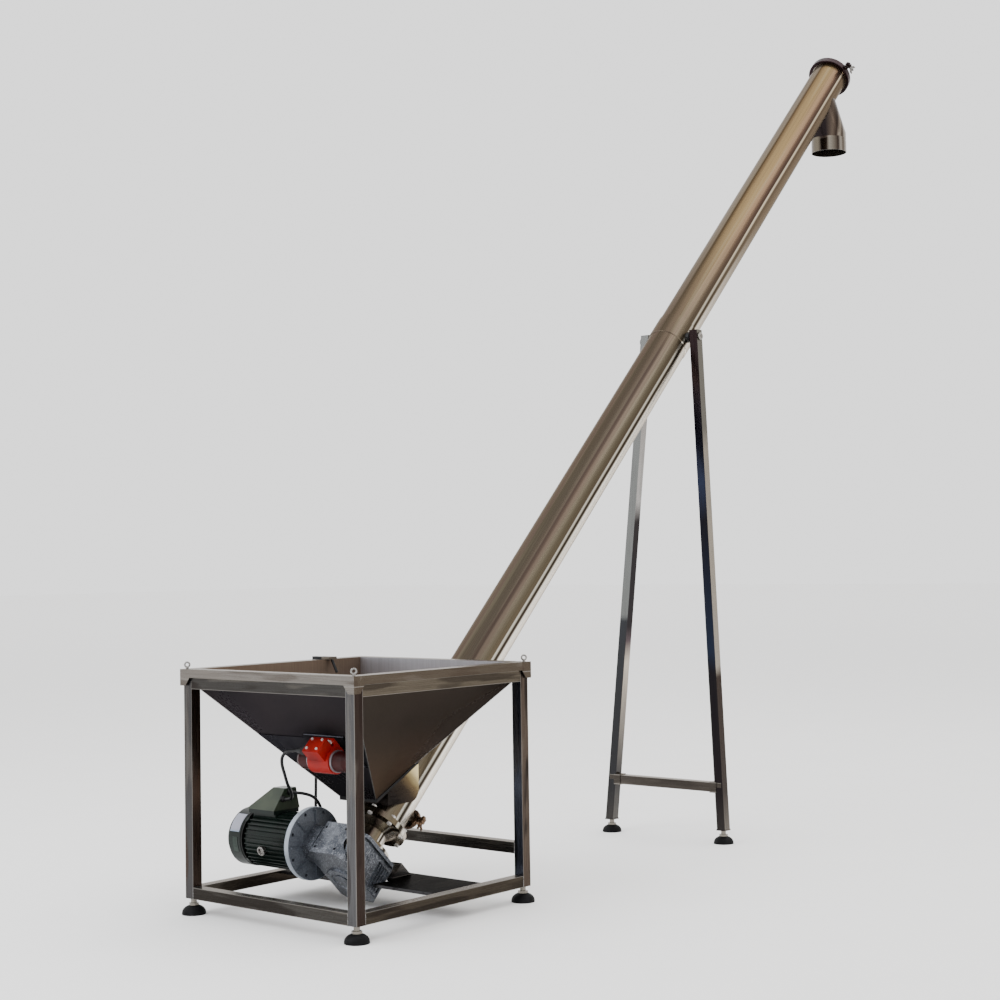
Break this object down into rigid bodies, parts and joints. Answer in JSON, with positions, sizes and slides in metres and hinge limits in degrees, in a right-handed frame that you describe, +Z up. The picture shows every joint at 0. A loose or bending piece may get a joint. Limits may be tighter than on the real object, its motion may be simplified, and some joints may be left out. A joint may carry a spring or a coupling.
{
  "type": "inclined screw conveyor",
  "caption": "Inclined tube screw conveyor with a square feed hopper on a tubular stand, worm gear motor drive, hopper vibrator, folding support legs and a vertical outlet spout.",
  "frame": {"origin": "centre of the footprint on the floor, below the middle of the object's box", "axes": "+X along the conveyor's run on the floor from the drive end to the outlet, +Y towards the motor, +Z up"},
  "size_m": [3.854, 0.871, 3.5917],
  "materials": {
    "stainless": "brushed stainless",
    "bright_steel": "machined and plated",
    "rubber_foot": "matte black rubber",
    "seal_rubber": "soft black sheet",
    "cast_aluminium": "painted casting",
    "bronze": "cut bronze",
    "green_paint": "gloss paint",
    "lamination_steel": "varnished",
    "black_plastic": "moulded",
    "orange_paint": "gloss paint",
    "maroon_paint": "gloss paint",
    "cable_jacket": "smooth jacket"
  },
  "bodies": {
    "frame": {"post_rear_right": "stainless", "post_rear_left": "stainless", "post_front_right": "stainless", "post_front_left": "stainless", "top_rails": "stainless", "base_rails": "stainless", "gearbox_base_plate": "stainless", "gearbox_bracket": "stainless", "hopper_shell": "stainless", "hopper_rim": "stainless", "vibrator_plate": "stainless", "inlet_boot": "stainless", "lower_tube": "stainless", "upper_tube": "stainless", "outlet_spout": "stainless", "end_cap": "stainless", "bearing_housing": "stainless", "lifting_eyes": "bright_steel", "hex_bolts": "bright_steel", "cleanout_cap": "bright_steel", "cleanout_clamp": "bright_steel", "auger_bearings": "bright_steel", "vibrator_bearings": "bright_steel", "inlet_gasket": "seal_rubber", "gearbox_housing": "cast_aluminium", "gearbox_covers": "cast_aluminium", "input_flange": "cast_aluminium", "motor_body": "green_paint", "motor_flange": "green_paint", "fan_cover": "green_paint", "terminal_box": "green_paint", "terminal_lid": "green_paint", "motor_stator": "lamination_steel", "cable_glands": "black_plastic", "level_probe": "black_plastic", "pivot_bolts": "black_plastic", "vibrator_body": "orange_paint", "vibrator_end_caps": "maroon_paint", "end_clamp_upper": "maroon_paint", "end_clamp_lower": "maroon_paint", "vibrator_cable": "cable_jacket", "sensor_cable": "cable_jacket"},
    "auger": {"auger_shaft": "stainless", "auger_flights": "stainless", "worm_wheel": "bronze"},
    "drive": {"worm_shaft": "bright_steel", "motor_rotor": "bright_steel", "cooling_fan": "black_plastic"},
    "vibrator_shaft": {"vibrator_rotor": "bright_steel"},
    "support": {"support_legs": "stainless", "support_crossbar": "stainless", "leg_plugs": "bright_steel"},
    "foot_rear_right": {"foot_rear_right": "rubber_foot"},
    "foot_rear_left": {"foot_rear_left": "rubber_foot"},
    "foot_front_right": {"foot_front_right": "rubber_foot"},
    "foot_front_left": {"foot_front_left": "rubber_foot"},
    "foot_support_right": {"foot_support_right": "rubber_foot"},
    "foot_support_left": {"foot_support_left": "rubber_foot"},
    "end_nut": {"end_wing_nut": "bright_steel"},
    "cleanout_nut": {"cleanout_wing_nut": "bright_steel"}
  },
  "joints": [
    {"name": "auger_spin", "type": "hinge", "parent": "frame", "child": "auger", "pos_m": [-1.51761, -0.0145, 0.14708], "axis": [0.7071, 0, 0.7071], "continuous": true},
    {"name": "drive_spin", "type": "hinge", "parent": "frame", "child": "drive", "pos_m": [-1.58832, 0.2355, 0.21779], "axis": [0, 1, 0], "continuous": true},
    {"name": "vibrator_spin", "type": "hinge", "parent": "frame", "child": "vibrator_shaft", "pos_m": [-1.72175, -0.1025, 0.522], "axis": [0, 1, 0], "continuous": true},
    {"name": "support_fold", "type": "hinge", "parent": "frame", "child": "support", "pos_m": [0.42764, -0.0145, 2.09233], "axis": [0, 1, 0], "range_deg": [0, 36]},
    {"name": "foot_rear_right_screw", "type": "slide", "parent": "frame", "child": "foot_rear_right", "axis": [0, 0, -1], "range_m": [0, 0.02]},
    {"name": "foot_rear_left_screw", "type": "slide", "parent": "frame", "child": "foot_rear_left", "axis": [0, 0, -1], "range_m": [0, 0.02]},
    {"name": "foot_front_right_screw", "type": "slide", "parent": "frame", "child": "foot_front_right", "axis": [0, 0, -1], "range_m": [0, 0.02]},
    {"name": "foot_front_left_screw", "type": "slide", "parent": "frame", "child": "foot_front_left", "axis": [0, 0, -1], "range_m": [0, 0.02]},
    {"name": "foot_support_right_screw", "type": "slide", "parent": "support", "child": "foot_support_right", "axis": [0, 0, -1], "range_m": [0, 0.02]},
    {"name": "foot_support_left_screw", "type": "slide", "parent": "support", "child": "foot_support_left", "axis": [0, 0, -1], "range_m": [0, 0.02]},
    {"name": "end_nut_spin", "type": "hinge", "parent": "frame", "child": "end_nut", "pos_m": [1.81739, -0.13631, 3.5395], "axis": [0.6708, -0.3162, -0.6708], "continuous": true},
    {"name": "cleanout_nut_spin", "type": "hinge", "parent": "frame", "child": "cleanout_nut", "pos_m": [-1.23335, -0.0699, 0.26446], "axis": [-0.7071, 0, -0.7071], "continuous": true}
  ],
  "couplings": [
    {"joint": "drive_spin", "follows": "auger_spin", "ratio": 15}
  ]
}
